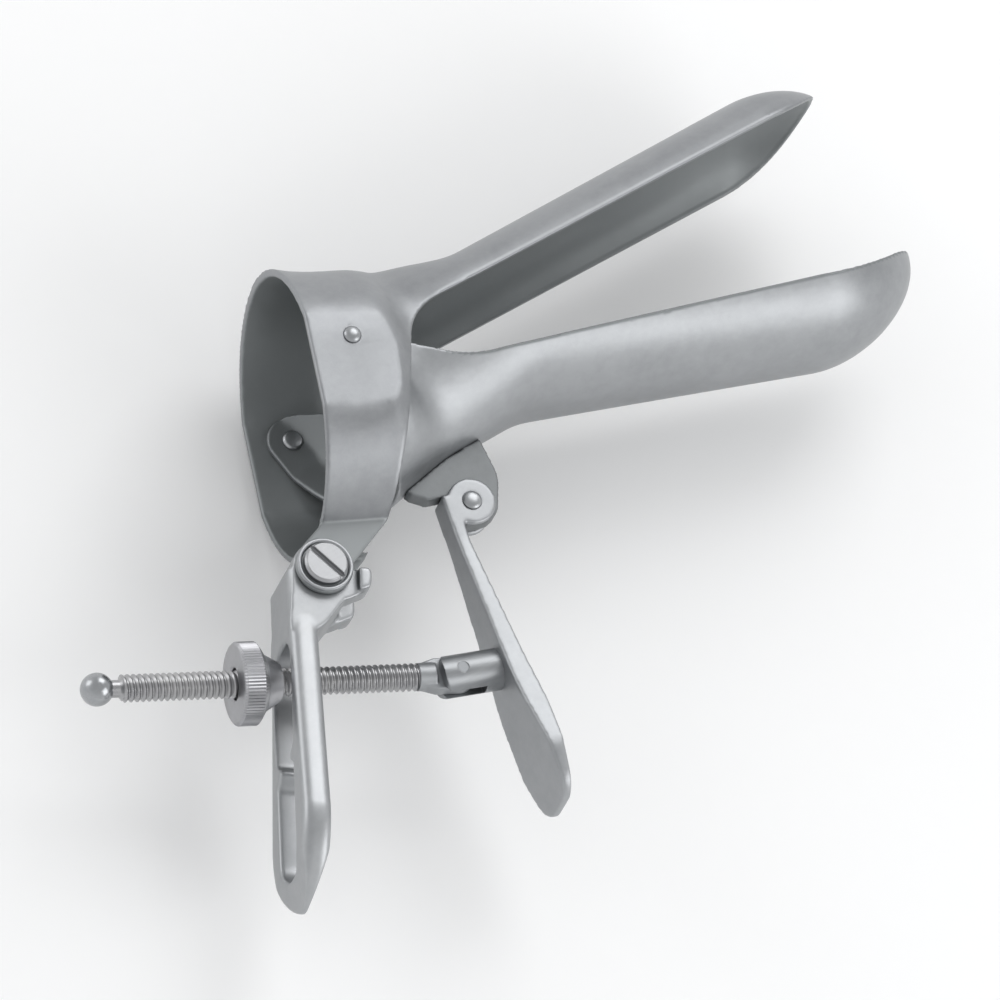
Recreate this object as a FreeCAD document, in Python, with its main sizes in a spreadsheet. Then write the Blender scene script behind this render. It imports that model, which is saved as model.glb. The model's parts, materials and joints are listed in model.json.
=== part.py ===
import FreeCAD, Part
import math
import os

import Sketcher
from FreeCAD import Placement, Rotation, Vector

# Bivalve speculum with a side screw, lying on its far side.
# The origin is the middle of the blade hinge. X runs forward along the upper blade,
# Y runs from the handles to the upper blade, and Z runs across the blades and up.
# All sizes are in millimetres and all angles in degrees.

SIZES = {
    # Sheet metal of the two valves
    "wall": 1.1,
    "tip_fullness": 0.46,
    "tip_roundness": 0.5,
    "collar_tilt": 24.0,
    "collar_half_width": 22.6,
    "cheek_flat": 1.3,
    "mouth_back": 7.6,
    "mouth_rise": 25.2,
    "ring_rise": 24.0,
    "ring_fall": 25.9,
    "ring_drop": 4.0,
    "cheek_ahead": 3.0,
    "throat_ahead": 11.6,
    "throat_half_width": 16.8,
    "throat_height": 23.4,
    "throat_drop": 3.6,
    "neck_place": 21.5,
    "neck_half_width": 15.3,
    "neck_rise": 11.3,
    "collar_depth": 11.8,
    "crotch_place": 15.1,
    "crotch_radius": 12.0,
    # Upper blade
    "blade_half_width": 15.0,
    "upper_blade_start": 33.0,
    "upper_blade_rise": 8.3,
    "upper_shoulder": 92.0,
    "upper_shoulder_rise": 8.9,
    "upper_tip_length": 17.5,
    "upper_edge": 0.9,
    "upper_tip_lift": 3.1,
    "upper_lift_start": 100.5,
    "lift_radius": 38.0,
    # Lower blade, in its own frame, which is turned by the opening of the blades
    "opening": 14.8,
    "cheek_gap": 0.15,
    "ear_radius": 4.4,
    "funnel_rear": 4.9,
    "funnel_tilt": 25.0,
    "funnel_fall": 22.9,
    "funnel_clearance": 0.9,
    "funnel_ahead": 1.2,
    "inner_throat_ahead": 8.5,
    "inner_throat_half_width": 14.0,
    "lower_neck_place": 26.0,
    "lower_neck_fall": 14.4,
    "lower_half_width": 14.5,
    "lower_blade_start": 37.0,
    "lower_blade_fall": 12.4,
    "lower_shoulder": 88.0,
    "lower_shoulder_fall": 15.6,
    "lower_tip_length": 22.0,
    "lower_edge": 5.1,
    "lower_edge_start": 22.0,
    "lower_edge_radius": 20.0,
    "lower_lift_start": 97.0,
    "lower_tip_lift": 5.2,
    # Lug under the lower valve
    "lug_thickness": 3.0,
    "lug_radius": 3.8,
    "lug_pin_x": 17.4,
    "lug_pin_drop": 26.6,
    "lug_back": 10.8,
    "lug_front": 6.8,
    "lug_stop_rise": 2.2,
    # Hinge rivets
    "rivet_radius": 1.1,
    "rivet_head_radius": 1.75,
    "rivet_head_height": 0.85,
    "rivet_inner_radius": 1.8,
    "rivet_inner_height": 0.75,
    # Clearances
    "bore_clearance": 0.05,
    "face_clearance": 0.08,
    "stop_clearance": 0.2,
    # Front handle, measured down from its screw
    "screw_x": 22.5,
    "screw_y": 29.4,
    "front_angle": 123.4,
    "front_length": 61.3,
    "front_back_face": 6.1,
    "front_thickness": 5.1,
    "front_eye_radius": 5.2,
    "front_head_half_width": 6.75,
    "front_neck_end": 9.0,
    "front_loop_start": 46.0,
    "front_loop_half_width": 11.3,
    "front_toe": 52.7,
    "front_edge_radius": 1.6,
    "front_toe_radius": 8.0,
    "front_nape_radius": 20.0,
    "front_chin_radius": 6.0,
    "slot_start": 12.5,
    "slot_half_gap": 5.5,
    "slot_neck": 34.0,
    "slot_neck_half_gap": 3.0,
    "slot_end": 55.0,
    "slot_end_half_gap": 5.2,
    "hook_reach": 8.1,
    "hook_top": 0.3,
    "hook_bottom": 3.3,
    "hook_half_span": 8.1,
    "hook_blunt": 1.4,
    "hook_foot": 5.2,
    "hook_gap": 0.9,
    # Tabs of the collar and the slotted screw
    "tab_gap": 0.15,
    "tab_radius": 5.0,
    "tab_waist_angle": -24.6,
    "screw_radius": 2.0,
    "screw_head_radius": 3.8,
    "screw_head_height": 1.5,
    "screw_slot_width": 1.0,
    "screw_slot_depth": 0.8,
    "screw_slot_angle": 75.0,
    "screw_tail": 0.4,
    # Rear handle, measured down from its pin
    "rear_angle": 108.5,
    "rear_length": 56.8,
    "rear_sheet": 1.2,
    "rear_stop_gap": 0.4,
    "rear_top_back": 5.0,
    "rear_bend_place": 37.0,
    "rear_bend_back": 3.8,
    "rear_tip_back": 1.0,
    "rear_bend_radius": 60.0,
    "rear_rim_rise": 0.6,
    "rear_rim_place": 40.0,
    "rear_rim_top_back": 2.4,
    "rear_rim_top_place": 7.0,
    "rear_palm_half_width": 8.5,
    "rear_palm_place": 48.0,
    "rear_waist_radius": 40.0,
    "rear_palm_radius": 9.0,
    "rear_rim_radius": 10.0,
    "rear_mid_half_width": 5.2,
    "rear_mid_place": 30.0,
    "cheek_radius": 4.2,
    "pin_radius": 1.25,
    "pin_head_radius": 1.7,
    "pin_head_height": 0.6,
    # Clevis, threaded rod and nut
    "clevis_place": 30.0,
    "clevis_radius": 3.6,
    "clevis_reach": 11.0,
    "clevis_end": 3.4,
    "tongue_thickness": 2.6,
    "tongue_radius": 2.9,
    "tongue_depth": 4.0,
    "clevis_pin_radius": 1.0,
    "rod_radius": 2.38,
    "rod_shoulder": 4.2,
    "rod_flare": 3.0,
    "rod_length": 63.3,
    "rod_neck_radius": 1.5,
    "rod_neck_length": 1.4,
    "ball_radius": 2.85,
    "rod_crossing": 18.6,
    "cone_gap": 0.6,
    "cone_length": 2.8,
    "cone_base_radius": 5.0,
    "cone_end_radius": 3.4,
    "nut_radius": 7.1,
    "nut_length": 5.0,
    "nut_bevel": 0.5,
    "nut_inner_bevel": 1.1,
}

document = FreeCAD.newDocument("speculum")
sheet = document.addObject("Spreadsheet::Sheet", "sizes")
for row, (alias, value) in enumerate(SIZES.items(), start=1):
    sheet.set(f"A{row}", alias)
    sheet.set(f"B{row}", str(value))
    sheet.setAlias(f"B{row}", alias)
document.recompute()

UP = Vector(0, 0, 1)
PIECES = []


def size(alias):
    """Value of one cell of the sheet."""
    return float(sheet.get(alias))


def piece(shape, label, placement=None):
    """Feature that holds a formed piece, under its own label."""
    feature = document.addObject("Part::Feature", label)
    feature.Label = label
    feature.Shape = shape
    if placement is not None:
        feature.Placement = placement
    PIECES.append(feature)
    return feature


def turned(x, y, angle):
    """Placement at a point of the mid-plane, turned about the lateral axis."""
    return Placement(Vector(x, y, 0), Rotation(UP, angle))


# Outlines and prisms


def corner_points(before, corner, after, radius):
    """Ends and middle of the arc that rounds a corner."""
    back = (before - corner).normalize()
    ahead = (after - corner).normalize()
    half = math.acos(max(-1.0, min(1.0, back.dot(ahead)))) / 2
    reach = radius / math.tan(half)
    bisector = (back + ahead).normalize()
    middle = corner + bisector * (radius / math.sin(half) - radius)
    return corner + back * reach, middle, corner + ahead * reach


def outline(points):
    """Face on the XY plane whose corners are given as (x, y) or (x, y, radius)."""
    corners = [Vector(p[0], p[1], 0) for p in points]
    radii = [p[2] if len(p) > 2 else 0 for p in points]
    edges = []
    ends = []
    for i, corner in enumerate(corners):
        if radii[i]:
            after = corners[(i + 1) % len(corners)]
            start, middle, end = corner_points(corners[i - 1], corner, after, radii[i])
            edges.append((start, middle, end))
            ends.append((start, end))
        else:
            edges.append(None)
            ends.append((corner, corner))
    made = []
    for i in range(len(corners)):
        if edges[i]:
            made.append(Part.Arc(*edges[i]).toShape())
        start = ends[i][1]
        end = ends[(i + 1) % len(corners)][0]
        if start.distanceToPoint(end) > 1e-6:
            made.append(Part.LineSegment(start, end).toShape())
    return Part.Face(Part.Wire(Part.__sortEdges__(made)))


def slab(points, low, high):
    """Outline given a thickness from low to high across the blades."""
    face = outline(points)
    face.translate(UP * low)
    return face.extrude(UP * (high - low))


def disc(x, y, radius, low, high):
    """Round plate or pin that lies across the blades."""
    return Part.makeCylinder(radius, high - low, Vector(x, y, low), UP)


def tangent_point(x, y, centre_x, centre_y, radius, side):
    """Point where a line from (x, y) touches a circle, on the side given as 1 or -1."""
    away = math.hypot(x - centre_x, y - centre_y)
    angle = math.atan2(y - centre_y, x - centre_x) + side * math.acos(radius / away)
    return centre_x + radius * math.cos(angle), centre_y + radius * math.sin(angle)


# Ovals, and the skins that they guide


def oval_points(x, y, tilt, half_width, rise, fall):
    """Centre and the top, near, bottom and far points of a leaning oval."""
    centre = Vector(x, y, 0)
    lean = math.radians(tilt)
    upward = Vector(math.sin(lean), math.cos(lean), 0)
    top = centre + upward * rise
    near = centre + UP * half_width
    bottom = centre - upward * fall
    far = centre - UP * half_width
    return centre, [top, near, bottom, far, top]


def quarter_poles(station, part):
    """Three poles of one quarter of an oval, exact with a middle weight of root one half."""
    centre, ends = oval_points(*station)
    start, end = ends[part], ends[part + 1]
    return [start, start + end - centre, end]


def quarter_edge(station, part):
    """One quarter of an oval as an edge."""
    curve = Part.BSplineCurve()
    weights = [1, math.sqrt(0.5), 1]
    curve.buildFromPolesMultsKnots(
        quarter_poles(station, part), [3, 3], [0, 1], False, 2, weights
    )
    return curve.toShape()


def skin(stations):
    """Solid drawn along the stations, smoothly and without overshoot from four on."""
    degree = min(3, len(stations) - 1)
    spans = len(stations) - degree
    knots = [i / spans for i in range(spans + 1)]
    mults = [degree + 1] + [1] * (spans - 1) + [degree + 1]
    weights = [[1, math.sqrt(0.5), 1] for _ in stations]
    faces = []
    for part in range(4):
        surface = Part.BSplineSurface()
        poles = [quarter_poles(station, part) for station in stations]
        surface.buildFromPolesMultsKnots(
            poles, mults, [3, 3], knots, [0, 1], False, False, degree, 2, weights
        )
        faces.append(surface.toShape())
    for station in (stations[0], stations[-1]):
        edges = [quarter_edge(station, part) for part in range(4)]
        faces.append(Part.Face(Part.Wire(edges)))
    shell = Part.Shell(faces)
    shell.sewShape()
    solid = Part.Solid(shell)
    if solid.Volume < 0:
        solid.reverse()
    return solid


def blade_end(start, length, growth):
    """Closed tip that goes on from a sloping blade and shrinks along a rounded curve."""
    x, y, lean, half_width, depth, _ = start
    reach = size("tip_fullness")
    shrink = size("tip_roundness")
    grown = depth + growth * reach * length
    low = depth * shrink
    last = size("wall") / 20
    return skin(
        [
            start,
            (x + reach * length, y, lean, half_width, grown, grown),
            (x + length, y, lean, half_width * shrink, low, low),
            (x + length, y, lean, last, last, last),
        ]
    )


def between(shape, half_span):
    """Shape cut flat on both sides at the half span."""
    reach = shape.BoundBox.DiagonalLength
    box = Part.makeBox(reach * 2, reach * 2, half_span * 2)
    box.translate(Vector(-reach, -reach, -half_span))
    return shape.common(box)


def collar_point(along, upward):
    """Point of the mid-plane given along and across the collar's axis."""
    lean = math.radians(size("collar_tilt"))
    x = along * math.cos(lean) + upward * math.sin(lean)
    y = upward * math.cos(lean) - along * math.sin(lean)
    return x, y


def cheek_half_span():
    """Distance of the collar's flat cheeks from the mid-plane."""
    return size("collar_half_width") - size("cheek_flat")


def funnel_half_width():
    """Half width of the lower valve's funnel, which nests inside the collar."""
    return size("collar_half_width") - size("wall") - size("funnel_clearance")


def upper_form(inset):
    """Filled form of the upper valve, its surface moved in by inset."""
    tilt = size("collar_tilt")
    width = size("collar_half_width") - inset
    back = size("mouth_back") + inset
    drop = size("ring_drop")
    ahead = size("cheek_ahead")
    edge = size("upper_edge")
    start = size("upper_blade_start")
    shoulder = size("upper_shoulder")
    neck_place = size("neck_place")
    growth = (size("upper_shoulder_rise") - size("upper_blade_rise")) / (shoulder - start)
    last_rise = size("upper_shoulder_rise") - inset
    blade = size("blade_half_width") - inset
    ring = size("ring_fall") - inset
    ring_rise = size("ring_rise") - inset
    throat = size("throat_height") - inset
    throat_width = size("throat_half_width") - inset
    neck = size("neck_rise") - inset
    narrowing = (width + throat_width) / 2
    lead = (start - neck_place) / 3
    first_rise = last_rise - growth * (shoulder - start)
    lead_rise = first_rise - growth * lead
    collar = [
        (*collar_point(-back, -drop), tilt, width, size("mouth_rise") - inset, ring),
        (*collar_point(-back / 2, -drop), tilt, width, ring_rise, ring),
        (*collar_point(ahead, -drop), tilt, width, ring_rise, ring),
        (*collar_point(2 * ahead, -drop), tilt, width, ring_rise, ring),
        (*collar_point(3 * ahead, -drop), tilt, narrowing, ring_rise, ring),
        (*collar_point(size("throat_ahead"), -size("throat_drop")), tilt, throat_width, throat, throat),
        (neck_place, edge, tilt / 2, size("neck_half_width") - inset, neck, neck),
        (start - lead, edge, 0, blade, lead_rise, lead_rise),
        (start, edge, 0, blade, first_rise, first_rise),
    ]
    end = (shoulder, edge, 0, blade, last_rise, last_rise)
    body = between(skin(collar), cheek_half_span() - inset)
    tip = blade_end(end, size("upper_tip_length") - inset, growth)
    return body.fuse([skin([collar[-1], end]), tip])


def tab_outer():
    """Distance of the outer face of a tab from the mid-plane."""
    return size("front_head_half_width") + size("tab_gap") + size("wall")


def ring_end():
    """Depth along the collar's slope at which its two ends turn down into the tabs."""
    share = tab_outer() / size("collar_half_width")
    return size("ring_drop") + size("ring_fall") * math.sqrt(1 - share * share)


def collar_front():
    """Forward extent of the collar where its ends turn down."""
    return size("collar_depth") - size("mouth_back")


def upper_keep():
    """Side outline inside which the upper valve's sheet is kept."""
    far = size("upper_shoulder") + 2 * size("upper_tip_length")
    high = 2 * size("mouth_rise")
    edge = size("upper_edge")
    bend = size("upper_lift_start")
    tip = size("upper_shoulder") + size("upper_tip_length")
    slope = size("upper_tip_lift") / (tip - bend)
    return [
        collar_point(-size("mouth_back"), high),
        (far, high),
        (far, edge + slope * (far - bend)),
        (bend, edge, size("lift_radius")),
        (size("crotch_place"), edge, size("crotch_radius")),
        collar_point(collar_front(), -ring_end()),
        collar_point(-size("mouth_back"), -ring_end()),
    ]


def tab_waist():
    """Point where the front edge of a tab runs into the rim of its eye."""
    angle = math.radians(size("tab_waist_angle"))
    x = size("tab_radius") * math.cos(angle) - size("screw_x")
    y = size("tab_radius") * math.sin(angle) - size("screw_y")
    return x, y


def collar_tab(side):
    """Flat tab below the collar with its eye round the handle's screw."""
    eye_x = -size("screw_x")
    eye_y = -size("screw_y")
    radius = size("tab_radius")
    overlap = size("wall")
    low = tab_outer() - size("wall")
    high = tab_outer()
    if side < 0:
        low, high = -high, -low
    front = collar_point(collar_front(), -ring_end())
    rear = collar_point(-size("mouth_back"), -ring_end())
    plate = slab(
        [
            collar_point(-size("mouth_back"), overlap - ring_end()),
            collar_point(collar_front(), overlap - ring_end()),
            front,
            tab_waist(),
            (eye_x, eye_y),
            tangent_point(*rear, eye_x, eye_y, radius, 1),
            rear,
        ],
        low,
        high,
    )
    tab = plate.fuse(disc(eye_x, eye_y, radius, low, high))
    return tab.cut(disc(eye_x, eye_y, size("screw_radius"), low, high))


def make_upper_valve():
    """Collar, neck and upper blade, formed from one sheet, with two tabs."""
    outer = upper_form(0)
    inner = upper_form(size("wall"))
    reach = 2 * size("collar_half_width")
    shell = outer.cut(inner).common(slab(upper_keep(), -reach, reach))
    shell = shell.fuse([collar_tab(1), collar_tab(-1)]).removeSplitter()
    shell = shell.cut(disc(0, 0, size("rivet_radius"), -reach, reach))
    return piece(shell, "upper_valve")


def funnel_point(along, upward):
    """Point of the lower valve's mid-plane along and across its funnel."""
    lean = math.radians(size("funnel_tilt"))
    x = along * math.cos(lean) - upward * math.sin(lean)
    y = along * math.sin(lean) + upward * math.cos(lean)
    return x, y


def flank(half_width, fall):
    """Half width on the centre line that gives a half width at the blade's edge."""
    share = size("lower_edge") / fall
    return half_width / math.sqrt(1 - share * share)


def lower_form(inset):
    """Filled form of the lower valve in its own frame, moved in by inset."""
    tilt = -size("funnel_tilt")
    fall = size("funnel_fall")
    width = funnel_half_width()
    throat = size("inner_throat_half_width")
    ahead = size("funnel_ahead")
    blade = size("lower_half_width")
    start = size("lower_blade_start")
    shoulder = size("lower_shoulder")
    neck_fall = size("lower_neck_fall")
    last_fall = size("lower_shoulder_fall")
    growth = (last_fall - size("lower_blade_fall")) / (shoulder - start)
    funnel = [
        (-2 * size("funnel_rear") - inset, width),
        (-size("funnel_rear"), width),
        (0, width),
        (ahead, width),
        ((ahead + size("inner_throat_ahead")) / 2, (width + throat) / 2),
        (size("inner_throat_ahead"), throat),
    ]
    stations = [(*funnel_point(along, 0), tilt, half, fall) for along, half in funnel]
    neck = flank(blade, neck_fall)
    neck_place = size("lower_neck_place")
    stations.append((neck_place, 0, tilt / 2, neck, neck_fall))
    lead = start - (start - neck_place) / 3
    for place in (lead, start, shoulder):
        depth = last_fall - growth * (shoulder - place)
        stations.append((place, 0, 0, flank(blade, depth), depth))
    stations = [(x, y, lean, w - inset, d - inset, d - inset) for x, y, lean, w, d in stations]
    tip = blade_end(stations[-1], size("lower_tip_length") - inset, growth)
    ear_span = cheek_half_span() - size("wall") - size("cheek_gap") - inset
    return between(skin(stations[:-1]), ear_span).fuse([skin(stations[-2:]), tip])


def make_lower_valve():
    """Lower blade with its funnel and two ears inside the collar."""
    edge = -size("lower_edge")
    ear = size("ear_radius")
    bend = size("lower_lift_start")
    tip = size("lower_shoulder") + size("lower_tip_length")
    slope = size("lower_tip_lift") / (tip - bend)
    far = tip + size("lower_tip_length")
    low = -2 * size("funnel_fall")
    keep = [
        funnel_point(-ear, 0),
        funnel_point(-size("funnel_rear"), -ear),
        funnel_point(-size("funnel_rear"), low),
        (far, low),
        (far, edge + slope * (far - bend)),
        (bend, edge, size("lift_radius")),
        (size("lower_edge_start"), edge, size("lower_edge_radius")),
        tangent_point(size("lower_edge_start"), edge, 0, 0, ear, 1),
        (0, 0),
    ]
    reach = 2 * funnel_half_width()
    mask = slab(keep, -reach, reach).fuse(disc(0, 0, ear, -reach, reach))
    shell = lower_form(0).cut(lower_form(size("wall"))).common(mask)
    bore = size("rivet_radius") + size("bore_clearance")
    shell = shell.cut(disc(0, 0, bore, -reach, reach))
    return piece(shell, "lower_valve", turned(0, 0, -size("opening")))


def make_lower_lug():
    """Fan-shaped lug under the funnel, with the stop edge and bore for the rear handle."""
    pin_x = size("lug_pin_x")
    pin_y = -size("lug_pin_drop")
    half = size("lug_thickness") / 2
    stop = pin_y + size("lug_stop_rise")
    side = pin_x - (size("rear_top_back") - size("rear_sheet") - 2 * size("stop_clearance"))
    radius = size("lug_radius")
    rear = pin_x - size("lug_back")
    front = pin_x + size("lug_front")
    plate = slab(
        [
            (rear, 0.5 * pin_y),
            (rear + 1.0, stop + radius / 2, radius / 2),
            (rear + 4.0, stop, 1.0),
            (side, stop),
            (side, pin_y - radius, radius / 2),
            (pin_x + radius, pin_y - radius, radius),
            (front, pin_y + radius, 2 * radius),
            (front - 1.0, 0.5 * pin_y),
        ],
        -half,
        half,
    )
    plate = plate.cut(lower_form(0))
    plate = max(plate.Solids, key=lambda solid: solid.Volume)
    plate = plate.cut(disc(pin_x, pin_y, size("pin_radius"), -half, half))
    return piece(plate, "lower_lug", turned(0, 0, -size("opening")))


# Turned pieces, each revolved from a half section


def constrain_corner(sketch, index, x_text, y_text):
    """Hold one corner of a sketch to two expressions of the sheet."""
    for text, kind, axis in ((x_text, "DistanceX", -2), (y_text, "DistanceY", -1)):
        if text == "0":
            sketch.addConstraint(Sketcher.Constraint("PointOnObject", index, 1, axis))
        else:
            value = float(sketch.evalExpression(text))
            held = sketch.addConstraint(Sketcher.Constraint(kind, -1, 1, index, 1, value))
            sketch.setExpression(f"Constraints[{held}]", text)


def half_section(body, name, corners):
    """Closed sketch on the body's XZ plane, with corners as pairs of expressions."""
    plane = next(o for o in body.Origin.OriginFeatures if o.Role == "XZ_Plane")
    sketch = body.newObject("Sketcher::SketchObject", name)
    sketch.AttachmentSupport = (plane, [""])
    sketch.MapMode = "FlatFace"
    spots = [
        Vector(float(sketch.evalExpression(x)), float(sketch.evalExpression(y)), 0)
        for x, y in corners
    ]
    count = len(spots)
    for i in range(count):
        sketch.addGeometry(Part.LineSegment(spots[i], spots[(i + 1) % count]), False)
    for i in range(count):
        sketch.addConstraint(Sketcher.Constraint("Coincident", i, 2, (i + 1) % count, 1))
    for i, (x, y) in enumerate(corners):
        constrain_corner(sketch, i, x, y)
    return sketch


def turned_body(label, corners):
    """Body revolved about the upright axis of its half section."""
    body = document.addObject("PartDesign::Body", label)
    body.Label = label
    sketch = half_section(body, label + "_section", corners)
    document.recompute()
    turn = body.newObject("PartDesign::Revolution", label + "_turn")
    turn.Profile = sketch
    turn.ReferenceAxis = (sketch, ["V_Axis"])
    turn.Angle = 360
    sketch.Visibility = False
    body.Tip = turn
    document.recompute()
    PIECES.append(body)
    return body


def make_hinge_rivet(label, side):
    """Rivet through one cheek of the collar and one ear of the lower valve."""
    outer = "sizes.collar_half_width - sizes.cheek_flat"
    inner = f"{outer} - 2 * sizes.wall - sizes.cheek_gap - sizes.face_clearance"
    rivet = turned_body(
        label,
        [
            ("0", f"{inner} - sizes.rivet_inner_height"),
            ("sizes.rivet_inner_radius * 0.6", f"{inner} - sizes.rivet_inner_height"),
            ("sizes.rivet_inner_radius", f"{inner} - sizes.rivet_inner_height * 0.35"),
            ("sizes.rivet_inner_radius", inner),
            ("sizes.rivet_radius", inner),
            ("sizes.rivet_radius", outer),
            ("sizes.rivet_head_radius", outer),
            ("sizes.rivet_head_radius", f"{outer} + sizes.rivet_head_height * 0.4"),
            ("sizes.rivet_head_radius * 0.65", f"{outer} + sizes.rivet_head_height"),
            ("0", f"{outer} + sizes.rivet_head_height"),
        ],
    )
    if side < 0:
        rivet.Placement = Placement(Vector(0, 0, 0), Rotation(Vector(1, 0, 0), 180))
    return rivet


def make_handle_screw():
    """Slotted screw on which the front handle swings between the two tabs."""
    seat = "sizes.front_head_half_width + sizes.tab_gap + sizes.wall"
    screw = turned_body(
        "handle_screw",
        [
            ("0", f"-({seat}) - sizes.screw_tail"),
            ("sizes.screw_radius", f"-({seat}) - sizes.screw_tail"),
            ("sizes.screw_radius", seat),
            ("sizes.screw_head_radius", seat),
            ("sizes.screw_head_radius", f"{seat} + sizes.screw_head_height * 0.7"),
            ("sizes.screw_head_radius * 0.9", f"{seat} + sizes.screw_head_height"),
            ("0", f"{seat} + sizes.screw_head_height"),
        ],
    )
    plane = next(o for o in screw.Origin.OriginFeatures if o.Role == "XY_Plane")
    slot = screw.newObject("Sketcher::SketchObject", "screw_slot")
    slot.AttachmentSupport = (plane, [""])
    slot.MapMode = "FlatFace"
    slot.setExpression(
        "AttachmentOffset.Base.z", f"{seat} + sizes.screw_head_height - sizes.screw_slot_depth"
    )
    half_length = size("screw_head_radius") * 1.5
    half_width = size("screw_slot_width") / 2
    corners = [
        Vector(-half_length, -half_width, 0),
        Vector(half_length, -half_width, 0),
        Vector(half_length, half_width, 0),
        Vector(-half_length, half_width, 0),
    ]
    for i in range(4):
        slot.addGeometry(Part.LineSegment(corners[i], corners[(i + 1) % 4]), False)
    for i in range(4):
        slot.addConstraint(Sketcher.Constraint("Coincident", i, 2, (i + 1) % 4, 1))
    texts = ["sizes.screw_head_radius * 1.5", "sizes.screw_slot_width / 2"]
    signs = [("-", "-"), ("", "-"), ("", ""), ("-", "")]
    for i, (x_sign, y_sign) in enumerate(signs):
        constrain_corner(slot, i, f"{x_sign}({texts[0]})", f"{y_sign}({texts[1]})")
    document.recompute()
    pocket = screw.newObject("PartDesign::Pocket", "screw_slot_cut")
    pocket.Profile = slot
    pocket.Reversed = True
    pocket.setExpression("Length", "sizes.screw_slot_depth * 2")
    screw.Tip = pocket
    slot.Visibility = False
    document.recompute()
    screw.Placement = turned(-size("screw_x"), -size("screw_y"), -size("screw_slot_angle"))
    return screw


# Front handle


def front_plan(inset, height):
    """Square-on outline of the front handle as a wire at one height of its thickness."""
    head = size("front_head_half_width") - inset
    loop = size("front_loop_half_width") - inset
    start = size("front_loop_start")
    neck = size("front_neck_end")
    length = size("front_length") - inset
    top = -size("front_eye_radius") - 1
    run = length - start
    radius = (run * run + loop * loop) / (2 * loop)
    angle = math.asin(run / radius) / 2
    middle_x = start + radius * math.sin(angle)
    middle_z = loop - radius * (1 - math.cos(angle))
    near = [(top, head), (neck, head), (start, loop), (middle_x, middle_z)]
    spots = [Vector(x, height, z) for x, z in near]
    mirrored = [Vector(x, height, -z) for x, z in near]
    tip = Vector(length, height, 0)
    edges = [
        Part.LineSegment(spots[0], spots[1]).toShape(),
        Part.LineSegment(spots[1], spots[2]).toShape(),
        Part.Arc(spots[2], spots[3], tip).toShape(),
        Part.Arc(tip, mirrored[3], mirrored[2]).toShape(),
        Part.LineSegment(mirrored[2], mirrored[1]).toShape(),
        Part.LineSegment(mirrored[1], mirrored[0]).toShape(),
        Part.LineSegment(mirrored[0], spots[0]).toShape(),
    ]
    return Part.Wire(edges)


def front_blank():
    """Front handle before its side outline is cut, with all its long edges rounded."""
    back = -size("front_back_face")
    face = back + size("front_thickness")
    radius = size("front_edge_radius")
    steps = 4
    wires = []
    for i in range(steps):
        angle = math.pi / 2 * i / (steps - 1)
        inset = radius * (1 - math.sin(angle))
        wires.append(front_plan(inset, back + radius * (1 - math.cos(angle))))
    for i in range(steps):
        angle = math.pi / 2 * (1 - i / (steps - 1))
        inset = radius * (1 - math.sin(angle))
        wires.append(front_plan(inset, face - radius * (1 - math.cos(angle))))
    return Part.makeLoft(wires, True, True)


def upright(face, low, high):
    """Plan outline stood up: its second axis runs across the blades, its depth along Y."""
    face.rotate(Vector(0, 0, 0), Vector(1, 0, 0), 90)
    face.translate(Vector(0, low, 0))
    return face.extrude(Vector(0, high - low, 0))


def front_slot():
    """Keyhole-like slot: two chambers joined by a neck."""
    gap = size("slot_half_gap")
    neck = size("slot_neck_half_gap")
    end_gap = size("slot_end_half_gap")
    place = size("slot_neck")
    near = [
        (size("slot_start"), -gap, gap * 0.8),
        (size("slot_start"), gap, gap * 0.8),
        (place - 2, gap, 1.5),
        (place - 0.5, neck, 0.6),
        (place + 0.5, neck, 0.6),
        (place + 2, end_gap, 1.5),
        (size("slot_end"), end_gap, end_gap * 0.95),
    ]
    far = [(x, -y, r) for x, y, r in reversed(near[2:])]
    return outline(near + far)


def front_hook(side):
    """Stop hook on one cheek of the head, whose claw stands in front of a tab."""
    head = size("front_head_half_width")
    top = -size("hook_top")
    bottom = size("hook_bottom")
    reach = size("hook_reach")
    blunt = size("hook_blunt")
    foot = size("hook_foot")
    claw_back = size("tab_radius") + size("hook_gap")
    nose = [(top, reach, blunt / 2), (bottom, reach, blunt)]
    root = [(top, 0), *nose, (foot, claw_back - blunt), (foot + blunt, 0)]
    claw = [(top, claw_back), *nose, (bottom + blunt / 2, claw_back)]
    near = slab(root, head / 2, head).fuse(slab(claw, head, size("hook_half_span")))
    if side < 0:
        near = near.mirror(Vector(0, 0, 0), UP)
    return near


def make_front_handle():
    """Forged loop handle with a slot for the rod and a stop hook on each cheek."""
    back = -size("front_back_face")
    face = back + size("front_thickness")
    eye = size("front_eye_radius")
    head = size("front_head_half_width")
    length = size("front_length")
    toe = size("front_toe")
    side = slab(
        [
            (0, back),
            (toe, back),
            (length, (back + face) / 2 - 0.3),
            (length, (back + face) / 2 + 0.3),
            (toe, face, size("front_toe_radius")),
            (0, face),
        ],
        -2 * head,
        2 * head,
    )
    body = side.common(front_blank())
    neck = slab(
        [
            (0, -eye),
            (2 * eye, back, size("front_nape_radius")),
            (size("slot_start") - 0.5, back),
            (size("slot_start") - 0.5, face, size("front_chin_radius")),
            (3.6, eye * 0.95),
            (0, eye * 0.8),
        ],
        -head,
        head,
    )
    body = body.fuse([neck, disc(0, 0, eye, -head, head)])
    body = body.cut(upright(front_slot(), 2 * back, 2 * eye))
    body = body.fuse([front_hook(1), front_hook(-1)]).removeSplitter()
    bore = size("screw_radius") + size("bore_clearance")
    body = body.cut(disc(0, 0, bore, -2 * head, 2 * head))
    place = turned(-size("screw_x"), -size("screw_y"), -size("front_angle"))
    return piece(body, "front_handle", place)


# Rear handle, clevis, rod and nut


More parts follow.
